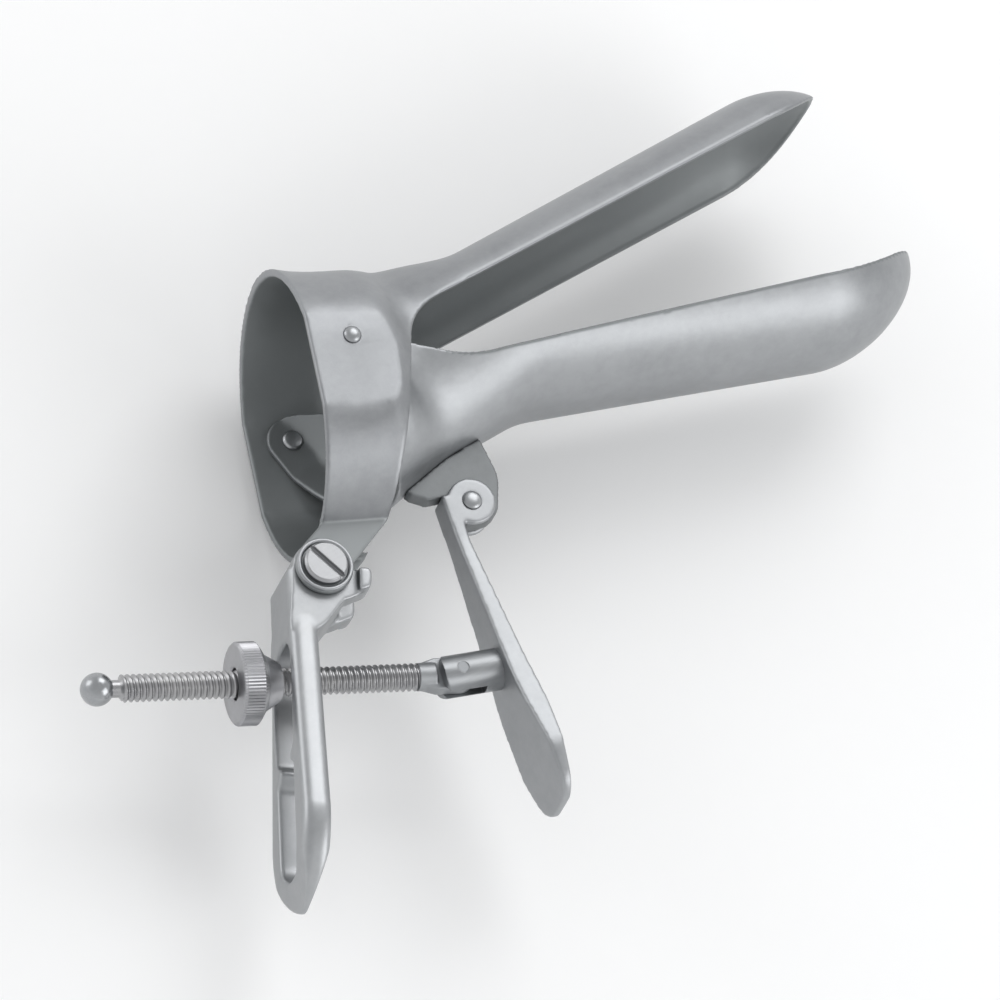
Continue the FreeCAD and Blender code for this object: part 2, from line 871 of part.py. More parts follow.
def rear_place():
    """Placement of the rear handle's pin on the lug of the lower valve."""
    swing = turned(0, 0, -size("opening"))
    pin = swing.multVec(Vector(size("lug_pin_x"), -size("lug_pin_drop"), 0))
    return turned(pin.x, pin.y, -size("rear_angle"))


def rear_plan(inset):
    """Leaf outline of the rear handle seen square on, moved in by inset."""
    head = size("lug_thickness") / 2 + size("face_clearance") + size("rear_sheet") - inset
    middle = size("rear_mid_half_width") - inset
    palm = size("rear_palm_half_width") - inset
    end = size("rear_length") - inset
    top = -size("cheek_radius") - 1
    near = [
        (top, head),
        (size("rear_rim_top_place"), head, size("rear_waist_radius")),
        (size("rear_mid_place"), middle, size("rear_waist_radius")),
        (size("rear_palm_place"), palm, size("rear_palm_radius")),
        (end, palm * 0.75, palm * 0.6),
    ]
    far = [(p[0], -p[1], *p[2:]) for p in reversed(near)]
    return outline(near + far)


def rear_side(inset):
    """Side outline of the rear handle; inset leaves room for the web."""
    stop = size("rear_stop_gap") - size("lug_stop_rise")
    bend = size("rear_bend_place")
    radius = size("rear_bend_radius")
    end = size("rear_length") + 1
    open_rise = 6 * inset
    return [
        (stop - inset, -size("rear_top_back") + inset),
        (bend, -size("rear_bend_back") + inset, radius),
        (end, -size("rear_tip_back") + inset),
        (end, -size("rear_tip_back") + size("rear_sheet") + open_rise),
        (size("rear_rim_place"), size("rear_rim_rise") + open_rise, radius),
        (size("rear_rim_top_place"), -size("rear_rim_top_back") + open_rise, size("rear_rim_radius")),
        (stop - inset, -size("rear_rim_top_back") + open_rise),
    ]


def make_rear_handle():
    """Leaf handle: a channel with two cheeks that straddle the lug."""
    palm = size("rear_palm_half_width")
    inside = size("lug_thickness") / 2 + size("face_clearance")
    outside = inside + size("rear_sheet")
    reach = 3 * size("rear_top_back")
    outer = slab(rear_side(0), -2 * palm, 2 * palm).common(upright(rear_plan(0), -reach, reach))
    sheet_in = size("rear_sheet")
    hollow = slab(rear_side(sheet_in), -2 * palm, 2 * palm)
    hollow = hollow.common(upright(rear_plan(sheet_in), -reach, reach))
    cheeks = disc(0, 0, size("cheek_radius"), -outside, outside)
    cheeks = cheeks.cut(disc(0, 0, 2 * size("cheek_radius"), -inside, inside))
    body = outer.cut(hollow).fuse(cheeks)
    bore = size("pin_radius") + size("bore_clearance")
    body = body.cut(disc(0, 0, bore, -outside, outside)).removeSplitter()
    return piece(body, "rear_handle", rear_place())


def make_rear_pin():
    """Riveted pin through the lug and both cheeks of the rear handle."""
    seat = "sizes.lug_thickness / 2 + 2 * sizes.face_clearance + sizes.rear_sheet"
    pin = turned_body(
        "rear_handle_pin",
        [
            ("0", f"-({seat}) - sizes.pin_head_height"),
            ("sizes.pin_head_radius * 0.7", f"-({seat}) - sizes.pin_head_height"),
            ("sizes.pin_head_radius", f"-({seat}) - sizes.pin_head_height * 0.4"),
            ("sizes.pin_head_radius", f"-({seat})"),
            ("sizes.pin_radius", f"-({seat})"),
            ("sizes.pin_radius", seat),
            ("sizes.pin_head_radius", seat),
            ("sizes.pin_head_radius", f"{seat} + sizes.pin_head_height * 0.4"),
            ("sizes.pin_head_radius * 0.7", f"{seat} + sizes.pin_head_height"),
            ("0", f"{seat} + sizes.pin_head_height"),
        ],
    )
    pin.Placement = rear_place()
    return pin


def clevis_place():
    """Placement of the clevis pin, with X running from the web out to the pin."""
    pivot = rear_place().multVec(Vector(size("clevis_place"), -size("clevis_reach"), 0))
    return turned(pivot.x, pivot.y, -size("rear_angle") - 90)


def make_rod_clevis():
    """Forked boss on the rear handle that takes the flat end of the rod."""
    radius = size("clevis_radius")
    end = size("clevis_end")
    reach = size("clevis_reach")
    barrel = Part.makeCylinder(radius, reach + end, Vector(-reach, 0, 0), Vector(1, 0, 0))
    profile = slab(
        [
            (-reach, -2 * radius),
            (end, -radius, radius * 0.9),
            (end, radius, radius * 0.9),
            (-reach, 2 * radius),
        ],
        -2 * radius,
        2 * radius,
    )
    fork_half = size("tongue_thickness") / 2 + size("face_clearance")
    depth = size("tongue_depth")
    fork = Part.makeBox(depth + 2 * end, 4 * radius, 2 * fork_half)
    fork.translate(Vector(-depth, -2 * radius, -fork_half))
    boss = barrel.common(profile).cut(fork)
    boss = boss.cut(disc(0, 0, size("clevis_pin_radius"), -2 * radius, 2 * radius))
    leaf = slab(rear_side(0), -2 * radius, 2 * radius)
    leaf.Placement = clevis_place().inverse().multiply(rear_place())
    boss = boss.cut(leaf)
    boss = max(boss.Solids, key=lambda solid: solid.Volume)
    return piece(boss, "rod_clevis", clevis_place())


def make_clevis_pin():
    """Pin across the clevis, on which the rod swings."""
    half = math.sqrt(size("clevis_radius") ** 2 - size("clevis_pin_radius") ** 2)
    pin = disc(0, 0, size("clevis_pin_radius"), -half, half)
    return piece(pin, "clevis_pin", clevis_place())


def crossing_point():
    """Point of the front handle's back face where the rod passes through."""
    place = turned(-size("screw_x"), -size("screw_y"), -size("front_angle"))
    return place.multVec(Vector(size("rod_crossing"), -size("front_back_face"), 0))


def rod_place():
    """Placement of the rod, with X running from the clevis pin to the ball."""
    pivot = clevis_place().Base
    run = crossing_point() - pivot
    return turned(pivot.x, pivot.y, math.degrees(math.atan2(run.y, run.x)))


def make_threaded_rod():
    """Rod with a flat, bored tongue at one end and a spigot for the ball at the other."""
    radius = size("rod_radius")
    tongue = size("tongue_radius")
    half = size("tongue_thickness") / 2
    shoulder = size("rod_shoulder")
    flare = size("rod_flare")
    neck = size("rod_length") - size("ball_radius") - size("rod_neck_length")
    stem = Part.makeCylinder(radius, neck - shoulder, Vector(shoulder, 0, 0), Vector(1, 0, 0))
    spigot = Part.makeCylinder(
        size("rod_neck_radius"), size("rod_length") - neck, Vector(neck, 0, 0), Vector(1, 0, 0)
    )
    blade = disc(0, 0, tongue, -half, half)
    blade = blade.fuse(
        slab(
            [(0, -tongue), (shoulder, -tongue), (shoulder + flare, -radius * 0.8),
             (shoulder + flare, radius * 0.8), (shoulder, tongue), (0, tongue)],
            -half,
            half,
        )
    )
    rod = stem.fuse([spigot, blade]).removeSplitter()
    bore = size("clevis_pin_radius") + size("bore_clearance")
    rod = rod.cut(disc(0, 0, bore, -2 * half, 2 * half))
    return piece(rod, "threaded_rod", rod_place())


def along_rod(distance):
    """Placement that turns an upright body to stand on the rod's axis."""
    place = rod_place()
    lie = Placement(Vector(distance, 0, 0), Rotation(Vector(0, 1, 0), 90))
    return place.multiply(lie)


def make_rod_ball():
    """Ball stop that keeps the nut on the rod."""
    ball = Part.makeSphere(size("ball_radius"), Vector(size("rod_length"), 0, 0))
    spigot = Part.makeCylinder(
        size("rod_neck_radius"), size("rod_length"), Vector(0, 0, 0), Vector(1, 0, 0)
    )
    return piece(ball.cut(spigot), "rod_ball", rod_place())


def nut_seat():
    """Distance from the clevis pin to the joint between cone and nut."""
    run = crossing_point() - clevis_place().Base
    return run.Length + size("cone_gap") + size("cone_length")


def make_seat_cone():
    """Cone in front of the nut that centres it in the slot of the front handle."""
    cone = turned_body(
        "nut_seat_cone",
        [
            ("sizes.rod_radius + sizes.bore_clearance", "-sizes.cone_length"),
            ("sizes.cone_end_radius", "-sizes.cone_length"),
            ("sizes.cone_base_radius", "0"),
            ("sizes.rod_radius + sizes.bore_clearance", "0"),
        ],
    )
    cone.Placement = along_rod(nut_seat())
    return cone


def make_knurled_nut():
    """Round nut that sets how far the handles can spread."""
    nut = turned_body(
        "knurled_nut",
        [
            ("sizes.rod_radius + sizes.bore_clearance", "0"),
            ("sizes.cone_base_radius", "0"),
            ("sizes.nut_radius", "sizes.nut_inner_bevel"),
            ("sizes.nut_radius", "sizes.nut_length - sizes.nut_bevel"),
            ("sizes.nut_radius - sizes.nut_bevel", "sizes.nut_length"),
            ("sizes.rod_radius + sizes.bore_clearance", "sizes.nut_length"),
        ],
    )
    nut.Placement = along_rod(nut_seat())
    return nut


make_upper_valve()
make_hinge_rivet("hinge_rivet_near", 1)
make_hinge_rivet("hinge_rivet_far", -1)
make_handle_screw()
make_front_handle()
make_lower_valve()
make_lower_lug()
make_rear_pin()
make_rear_handle()
make_rod_clevis()
make_clevis_pin()
make_threaded_rod()
make_rod_ball()
make_seat_cone()
make_knurled_nut()
document.recompute()

failed = [o.Name for o in document.Objects if "Invalid" in o.State or "Error" in o.State]
for made in PIECES:
    shape = made.Shape
    if shape.isNull() or not shape.isValid() or len(shape.Solids) != 1:
        failed.append(f"{made.Label} ({len(shape.Solids)} solids, valid: {shape.isValid()})")
if failed:
    raise RuntimeError("these objects failed: " + ", ".join(failed))

os.makedirs("parts", exist_ok=True)
for made in PIECES:
    made.Shape.exportStep(os.path.join("parts", made.Label + ".step"))
    box = made.Shape.BoundBox
    print(f"{made.Label}: {made.Shape.Volume:.1f} mm3, Z {box.ZMin:.2f} to {box.ZMax:.2f}")
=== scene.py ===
import json
import logging
import math
from dataclasses import dataclass, field
from enum import Enum
from typing import Callable, Sequence

import bpy
from mathutils import Matrix, Vector
from mathutils.kdtree import KDTree


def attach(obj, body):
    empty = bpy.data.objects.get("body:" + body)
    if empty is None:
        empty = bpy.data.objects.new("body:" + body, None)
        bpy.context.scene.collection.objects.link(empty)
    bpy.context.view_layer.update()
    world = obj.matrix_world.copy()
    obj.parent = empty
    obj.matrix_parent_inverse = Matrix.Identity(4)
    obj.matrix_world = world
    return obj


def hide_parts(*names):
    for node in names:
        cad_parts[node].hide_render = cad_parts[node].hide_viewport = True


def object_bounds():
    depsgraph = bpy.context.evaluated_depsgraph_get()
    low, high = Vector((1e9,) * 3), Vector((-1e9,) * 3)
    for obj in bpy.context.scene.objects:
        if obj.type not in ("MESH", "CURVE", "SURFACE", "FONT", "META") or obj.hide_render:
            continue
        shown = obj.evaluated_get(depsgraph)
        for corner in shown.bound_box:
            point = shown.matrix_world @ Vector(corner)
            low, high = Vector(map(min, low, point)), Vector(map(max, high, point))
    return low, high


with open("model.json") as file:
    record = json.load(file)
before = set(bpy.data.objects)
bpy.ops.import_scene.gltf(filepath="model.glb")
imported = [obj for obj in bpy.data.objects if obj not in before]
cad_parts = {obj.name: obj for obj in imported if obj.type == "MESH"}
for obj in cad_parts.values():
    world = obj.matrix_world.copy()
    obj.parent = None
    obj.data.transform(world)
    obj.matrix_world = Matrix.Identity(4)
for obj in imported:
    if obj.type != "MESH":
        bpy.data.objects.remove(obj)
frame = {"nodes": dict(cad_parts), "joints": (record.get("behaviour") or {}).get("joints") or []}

CAD_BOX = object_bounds()
MM = 0.001
WELD = 1e-6
FORM_ANGLE = 60.0
Place = tuple[float, float, float]
Colour = tuple[float, float, float]
Section = tuple[float, float]

logging.basicConfig(level=logging.INFO, format="%(message)s")
LOG = logging.getLogger("speculum")


class Body(Enum):
    """Moving groups of the instrument."""

    COLLAR = "collar"
    LOWER_BLADE = "lower_blade"
    REAR_HANDLE = "rear_handle"
    ROD = "rod"
    NUT = "nut"
    FRONT_HANDLE = "front_handle"


class Slot(Enum):
    """Material slots of the record."""

    VALVE = "valve_steel"
    LUG = "lug_steel"
    FASTENER = "fastener_steel"
    FRONT_HANDLE = "front_handle_steel"
    REAR_HANDLE = "rear_handle_steel"
    ROD = "rod_steel"
    NUT = "nut_steel"


class Grain(Enum):
    """Direction in which a surface was finished."""

    ALONG = (60.0, 900.0, 900.0)
    NONE = (420.0, 420.0, 420.0)


# Shader maths on sockets


class Wire:
    """Output socket of a shader node that takes part in sums and products."""

    def __init__(self, tree: bpy.types.NodeTree, socket: bpy.types.NodeSocket) -> None:
        """Keeps a socket with its tree.

        Args:
            tree: Node tree that holds the socket.
            socket: Output that the wire stands for.
        """
        self.tree = tree
        self.socket = socket

    def joined(self, operation: str, other: "Wire | float") -> "Wire":
        """Result of a Math node on this wire and another value.

        Args:
            operation: Name of the Math node's operation.
            other: Second value, a wire or a number.

        Returns:
            Wire that carries the result.
        """
        node = self.tree.nodes.new("ShaderNodeMath")
        node.operation = operation
        self.tree.links.new(self.socket, node.inputs[0])
        if isinstance(other, Wire):
            self.tree.links.new(other.socket, node.inputs[1])
        else:
            node.inputs[1].default_value = other
        return Wire(self.tree, node.outputs[0])

    def __add__(self, other: "Wire | float") -> "Wire":
        """Sum of two values."""
        return self.joined("ADD", other)

    def __mul__(self, other: "Wire | float") -> "Wire":
        """Product of two values."""
        return self.joined("MULTIPLY", other)

    def over(self, low: float, high: float) -> "Wire":
        """Share of the way from low to high, kept between 0 and 1.

        Args:
            low: Value that gives 0.
            high: Value that gives 1.

        Returns:
            Wire with the share.
        """
        node = self.tree.nodes.new("ShaderNodeMapRange")
        node.inputs["From Min"].default_value = low
        node.inputs["From Max"].default_value = high
        self.tree.links.new(self.socket, node.inputs["Value"])
        return Wire(self.tree, node.outputs["Result"])


class Palette:
    """Node tree of one material with short calls for its patterns."""

    def __init__(self, name: str) -> None:
        """Starts a material with its Principled shader.

        Args:
            name: Name of the material.
        """
        self.material = bpy.data.materials.new(name)
        self.material.use_nodes = True
        self.tree = self.material.node_tree
        self.shader = self.tree.nodes["Principled BSDF"]
        self.place = self.tree.nodes.new("ShaderNodeTexCoord").outputs["Object"]

    def noise(self, scale: Place, detail: float = 3.0, rough: float = 0.55) -> Wire:
        """Noise on object coordinates, stretched by a scale in each direction.

        Args:
            scale: Waves for each metre along X, Y and Z.
            detail: Octaves of the noise.
            rough: Strength of the finer octaves.

        Returns:
            Wire with the noise, from 0 to 1.
        """
        mapping = self.tree.nodes.new("ShaderNodeMapping")
        mapping.inputs["Scale"].default_value = scale
        self.tree.links.new(self.place, mapping.inputs["Vector"])
        node = self.tree.nodes.new("ShaderNodeTexNoise")
        node.inputs["Scale"].default_value = 1.0
        node.inputs["Detail"].default_value = detail
        node.inputs["Roughness"].default_value = rough
        self.tree.links.new(mapping.outputs["Vector"], node.inputs["Vector"])
        return Wire(self.tree, node.outputs["Fac"])

    def specks(self, scale: float) -> Wire:
        """Distance to the nearest of many scattered points."""
        node = self.tree.nodes.new("ShaderNodeTexVoronoi")
        node.inputs["Scale"].default_value = scale
        self.tree.links.new(self.place, node.inputs["Vector"])
        return Wire(self.tree, node.outputs["Distance"])

    def painted(self, name: str) -> Wire:
        """Value that is stored on the mesh's points under a name."""
        node = self.tree.nodes.new("ShaderNodeAttribute")
        node.attribute_name = name
        return Wire(self.tree, node.outputs["Fac"])

    def blend(
        self,
        share: Wire,
        first: "Colour | bpy.types.NodeSocket",
        second: "Colour | bpy.types.NodeSocket",
    ) -> bpy.types.NodeSocket:
        """Colour between two colours.

        Args:
            share: Share of the second colour.
            first: Colour at 0, written or from another node.
            second: Colour at 1, written or from another node.

        Returns:
            Socket with the colour.
        """
        node = self.tree.nodes.new("ShaderNodeMix")
        node.data_type = "RGBA"
        ends = [i for i in node.inputs if i.type == "RGBA"]
        for end, colour in zip(ends, (first, second)):
            if isinstance(colour, bpy.types.NodeSocket):
                self.tree.links.new(colour, end)
            else:
                end.default_value = (*colour, 1.0)
        self.tree.links.new(share.socket, node.inputs["Factor"])
        return next(o for o in node.outputs if o.type == "RGBA")

    def relief(self, height: Wire, strength: float, depth: float, edge: float) -> None:
        """Bump of the surface, laid over softened edges.

        Args:
            height: Wire with the height, from 0 to 1.
            strength: Share of the bump that shows.
            depth: Height in metres that 1 stands for.
            edge: Radius in metres by which edges are softened.
        """
        soft = self.tree.nodes.new("ShaderNodeBevel")
        soft.samples = 6
        soft.inputs["Radius"].default_value = edge
        node = self.tree.nodes.new("ShaderNodeBump")
        node.inputs["Strength"].default_value = strength
        node.inputs["Distance"].default_value = depth
        self.tree.links.new(height.socket, node.inputs["Height"])
        self.tree.links.new(soft.outputs["Normal"], node.inputs["Normal"])
        self.tree.links.new(node.outputs["Normal"], self.shader.inputs["Normal"])

    def feed(self, name: str, source: "Wire | bpy.types.NodeSocket") -> None:
        """Links a wire or socket to an input of the shader."""
        socket = source.socket if isinstance(source, Wire) else source
        self.tree.links.new(socket, self.shader.inputs[name])


# Finishes


@dataclass(frozen=True)
class Steel:
    """Satin stainless steel, brushed or polished on one piece, with a painted shade where the mesh
    marks it.
    """

    name: str
    light: Colour = (0.41, 0.42, 0.432)
    dull: Colour = (0.34, 0.35, 0.362)
    gloss: float = 0.40
    spread: float = 0.10
    grain: Grain = Grain.NONE
    relief: float = 0.35
    depth: float = 0.00006
    edge: float = 0.00025
    # Colour of a painted shade for the zone that the mesh marks, and the roughness added in that
    # zone.
    painted_shade: Colour | None = None
    shade_zone_roughness: float = 0.12
    clouds: float = 38.0
    pits: float = 2600.0
    marks: float = 900.0
    ior: float = 2.6

    def material(self) -> bpy.types.Material:
        """Material with handling marks, finish lines, fine pits and softened edges, and a darker,
        rougher painted shade where the mesh marks it.

        Returns:
            The finished material.
        """
        palette = Palette(self.name)
        cloud = palette.noise((self.clouds,) * 3, 4.0, 0.6)
        lines = palette.noise(self.grain.value, 5.0, 0.7)
        pits = palette.specks(self.pits).over(0.0, 0.35)
        marks = palette.noise((self.marks,) * 3, 2.0)
        tone = (cloud * 0.6 + lines * 0.4).over(0.38, 0.62)
        polished = palette.blend(tone, self.dull, self.light)
        wear = cloud.over(0.35, 0.7) * self.spread + lines * (self.spread * 0.6)
        rough = wear + (self.gloss - self.spread * 0.6)
        # Painted shade: where the mesh's stored value marks the hollows, the lower blade's top rim
        # and the tabs, the colour darkens to a shaded copy of the steel; the roughness rises there
        # as well.
        if self.painted_shade:
            zone = palette.painted("painted_shade")
            polished = palette.blend(zone, polished, self.painted_shade)
            rough = rough + zone * self.shade_zone_roughness
        palette.feed("Base Color", polished)
        palette.feed("Roughness", rough)
        height = lines * 0.5 + pits * 0.2 + marks * 0.3
        palette.relief(height, self.relief, self.depth, self.edge)
        palette.shader.inputs["Metallic"].default_value = 1.0
        palette.shader.inputs["IOR"].default_value = self.ior
        return palette.material


@dataclass(frozen=True)
class Backdrop:
    """Plain pale paper under and behind the instrument."""

    name: str = "paper"
    colour: Colour = (0.95, 0.95, 0.95)
    tooth: float = 220.0

    def material(self) -> bpy.types.Material:
        """Matt paper with a barely seen tooth.

        Returns:
            The finished material.
        """
        palette = Palette(self.name)
        tooth = palette.noise((self.tooth,) * 3, 2.0)
        low = tuple(c * 0.99 for c in self.colour)
        palette.feed("Base Color", palette.blend(tooth, low, self.colour))
        palette.shader.inputs["Roughness"].default_value = 0.9
        palette.shader.inputs["Specular IOR Level"].default_value = 0.1
        return palette.material


# Modelling by hand


class Bench:
    """Hand tools that model one piece at a time."""

    @staticmethod
    def clear() -> None:
        """Leaves edit mode and deselects everything."""
        if bpy.context.object and bpy.context.object.mode != "OBJECT":
            bpy.ops.object.mode_set(mode="OBJECT")
        bpy.ops.object.select_all(action="DESELECT")

    @staticmethod
    def hold(piece: bpy.types.Object) -> None:
        """Makes one object the only one selected and the active one."""
        Bench.clear()
        piece.select_set(True)
        bpy.context.view_layer.objects.active = piece

    @staticmethod
    def turned(
        name: str, sections: Sequence[Section], sides: int = 64, closed: bool = True,
    ) -> bpy.types.Object:
        """Round piece, drawn up section by section along Z from a disc or ring.

        Args:
            name: Name of the new object.
            sections: Radius and height of each section, in millimetres.
            sides: Corners of each section.
            closed: Fills both ends; otherwise the last section joins the first.

        Returns:
            The new object.
        """
        Bench.clear()
        radius, height = sections[0]
        bpy.ops.mesh.primitive_circle_add(
            vertices=sides, radius=radius * MM, location=(0, 0, height * MM),
            fill_type="NGON" if closed else "NOTHING",
        )
        piece = bpy.context.object
        piece.name = name
        bpy.ops.object.transform_apply(location=True, rotation=True, scale=True)
        bpy.ops.object.mode_set(mode="EDIT")
        bpy.ops.mesh.select_mode(type="VERT")
        bpy.ops.mesh.select_all(action="SELECT")
        last = radius, height
        for radius, height in sections[1:]:
            bpy.ops.mesh.extrude_region_move(
                TRANSFORM_OT_translate={"value": (0, 0, (height - last[1]) * MM)}
            )
            share = radius / last[0]
            centre = (0, 0, height * MM)
            bpy.ops.transform.resize(value=(share, share, 1.0), center_override=centre)
            last = radius, height
        bpy.ops.mesh.select_all(action="SELECT")
        bpy.ops.mesh.remove_doubles(threshold=WELD)
        bpy.ops.mesh.normals_make_consistent(inside=False)
        bpy.ops.object.mode_set(mode="OBJECT")
        return piece

    @staticmethod
    def copied(node: str, name: str) -> bpy.types.Object:
        """Merged copy of a CAD node with a mesh of its own."""
        source = frame["nodes"][node]
        piece = bpy.data.objects.new(name, source.data.copy())
        bpy.context.scene.collection.objects.link(piece)
        Bench.hold(piece)
        bpy.ops.object.mode_set(mode="EDIT")
        bpy.ops.mesh.select_all(action="SELECT")
        bpy.ops.mesh.remove_doubles(threshold=WELD)
        bpy.ops.object.mode_set(mode="OBJECT")
        return piece

    @staticmethod
    def rims(piece: bpy.types.Object) -> KDTree:
        """Points along a piece's sharp edges, to find what lies near them.

        Args:
            piece: Object whose edges are read.

        Returns:
            Tree of points at most half a millimetre apart.
        """
        sharp = 50.0
        step = 0.5 * MM
        Bench.hold(piece)
        bpy.ops.object.mode_set(mode="EDIT")
        bpy.ops.mesh.select_mode(type="EDGE")
        bpy.ops.mesh.select_all(action="DESELECT")
        bpy.ops.mesh.edges_select_sharp(sharpness=math.radians(sharp))
        bpy.ops.object.mode_set(mode="OBJECT")
        points: list[Vector] = []
        for edge in piece.data.edges:
            if edge.select:
                start, end = (piece.data.vertices[i].co for i in edge.vertices)
                count = max(1, math.ceil((end - start).length / step))
                points += [start.lerp(end, k / count) for k in range(count)]
        tree = KDTree(len(points))
        for index, point in enumerate(points):
            tree.insert(point, index)
        tree.balance()
        return tree

    @staticmethod
    def smoothed(piece: bpy.types.Object, passes: int, group: str = "") -> None:
        """Smooths the active piece.

        Args:
            piece: Object that is smoothed.
            passes: Times its surface is smoothed.
            group: Vertex group that keeps the smoothing in, or none for the whole surface.
        """
        smooth = piece.modifiers.new("smooth", "SMOOTH")
        smooth.factor = 0.5
        smooth.iterations = passes
        smooth.vertex_group = group
        bpy.ops.object.modifier_apply(modifier="smooth")

    @staticmethod
    def eased(
        piece: bpy.types.Object, cell: float, polish: int, keep: float = 1.0, soften: int = 0,
        turn: float = 0.0,
    ) -> None:
        """Rounds a form's edges a little and its shallow creases more, as polishing does.

        Args:
            piece: Object that is worked over.
            cell: Size in millimetres of the new mesh's cells.
            polish: Times the whole surface is smoothed.
            keep: Share of the new mesh's faces that stays.
            soften: Times the surface away from its rims is smoothed.
            turn: Angle in degrees about Z of the long edges, which the cells follow.
        """
        clear = 0.5
        aligned = Matrix.Rotation(-math.radians(turn), 4, "Z")
        piece.data.transform(aligned)
        rims = Bench.rims(piece)
        Bench.hold(piece)
        remesh = piece.modifiers.new("cells", "REMESH")
        remesh.mode = "VOXEL"
        remesh.voxel_size = cell * MM
        bpy.ops.object.modifier_apply(modifier="cells")
        Bench.smoothed(piece, polish)
        if keep < 1.0:
            thin = piece.modifiers.new("thin", "DECIMATE")
            thin.ratio = keep
            bpy.ops.object.modifier_apply(modifier="thin")
        if soften:
            zone = piece.vertex_groups.new(name="open_sheet")
            for vertex in piece.data.vertices:
                away = rims.find(vertex.co)[2] / MM
                zone.add([vertex.index], min(1.0, max(0.0, (away - clear) / clear)), "REPLACE")
            Bench.relit(piece, soften)
        piece.data.transform(aligned.inverted())

    @staticmethod
    def relit(piece: bpy.types.Object, passes: int) -> None:
        """Takes the normals of a piece's open sheet from a much smoother copy of it.

        Args:
            piece: Object with the vertex group open_sheet.
            passes: Times the copy is smoothed.
        """
        guide = bpy.data.objects.new("guide", piece.data.copy())
        bpy.context.scene.collection.objects.link(guide)
        Bench.hold(guide)
        bpy.ops.object.shade_smooth()
        guide.vertex_groups.new(name="open_sheet")
        Bench.smoothed(guide, passes, "open_sheet")
        Bench.hold(piece)
        bpy.ops.object.shade_smooth()
        transfer = piece.modifiers.new("normals", "DATA_TRANSFER")
        transfer.object = guide
        transfer.use_loop_data = True
        transfer.data_types_loops = {"CUSTOM_NORMAL"}
        transfer.loop_mapping = "TOPOLOGY"
        transfer.vertex_group = "open_sheet"
        bpy.ops.object.modifier_apply(modifier="normals")
        bpy.data.objects.remove(guide)

    @staticmethod
    def painted(
        piece: bpy.types.Object, name: str, share: Callable[[Vector, Vector], float],
    ) -> None:
        """Stores a value between 0 and 1 on each point of a piece.

        Args:
            piece: Object that is painted.
            name: Name under which the finish reads it.
            share: Value for a point and its normal, in millimetres.
        """
        layer = piece.data.attributes.new(name, "FLOAT", "POINT")
        for vertex in piece.data.vertices:
            value = share(vertex.co / MM, vertex.normal)
            layer.data[vertex.index].value = min(1.0, max(0.0, value))

    @staticmethod
    def cut(piece: bpy.types.Object, point: Vector, normal: Vector) -> None:
        """Cuts away what lies past a plane and closes the cut.

        Args:
            piece: Object that is cut.
            point: Point of the plane.
            normal: Direction of the side that goes.
        """
        Bench.hold(piece)
        bpy.ops.object.mode_set(mode="EDIT")
        bpy.ops.mesh.select_all(action="SELECT")
        bpy.ops.mesh.bisect(
            plane_co=point, plane_no=normal, use_fill=True, clear_outer=True, threshold=1e-7
        )
        bpy.ops.object.mode_set(mode="OBJECT")

    @staticmethod
    def finished(
        piece: bpy.types.Object,
        place: Matrix,
        body: Body,
        slot: Slot,
        material: bpy.types.Material,
        angle: float = 35.0,
    ) -> bpy.types.Object:
        """Sets a piece in place, smooths and dresses it, and lets it ride on its body.

        A piece with normals of its own keeps them.

        Args:
            piece: Object that was modelled at the origin.
            place: Matrix that takes it to its place.
            body: Body that carries it.
            slot: Slot of the record that its finish belongs to; not used.
            material: Finish of the piece.
            angle: Angle in degrees past which an edge stays sharp.

        Returns:
            The same object.
        """
        piece.data.transform(place)
        piece.data.materials.clear()
        piece.data.materials.append(material)
        Bench.hold(piece)
        if not piece.data.has_custom_normals:
            bpy.ops.object.shade_smooth_by_angle(angle=math.radians(angle))
        Bench.clear()
        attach(piece, body.value)
        LOG.info("%s: %d faces on %s", piece.name, len(piece.data.polygons), body.value)
        return piece


def joint_place(name: str) -> tuple[Vector, Vector]:
    """Point and axis of a joint.

    Args:
        name: Name of the joint.

    Returns:
        Point in metres and axis, both in the object's frame.
    """
    joint = next(j for j in frame["joints"] if j["name"] == name)
    return Vector(joint.get("pos_m") or (0, 0, 0)), Vector(joint["axis"]).normalized()


def standing(point: Vector, axis: Vector) -> Matrix:
    """Matrix that stands a piece modelled along Z on an axis at a point."""
    return Matrix.Translation(point) @ axis.to_track_quat("Z", "Y").to_matrix().to_4x4()


def dome(
    radius: float, height: float, rise: float, angles: Sequence[float],
) -> list[Section]:
    """Sections of a rivet's domed head.

    Args:
        radius: Radius of its foot in millimetres.
        height: Height of its foot in millimetres.
        rise: Height of the dome over its foot.
        angles: Angle in degrees of each section, 0 at the foot.

    Returns:
        Radius and height of each section.
    """
    turns = [math.radians(angle) for angle in angles]
    return [(radius * math.cos(turn), height + rise * math.sin(turn)) for turn in turns]


def dressed(node: str, finish: Steel) -> bpy.types.Material:
    """Gives a CAD node its finish through its material slots.

    Args:
        node: Name of the node.
        finish: Steel that it is made of.

    Returns:
        The material, for the pieces that stand for the node.
    """
    material = finish.material()
    for slot in frame["nodes"][node].material_slots:
        slot.material = material
    LOG.info("%s: dressed in %s", node, material.name)
    return material


# Sub-assemblies


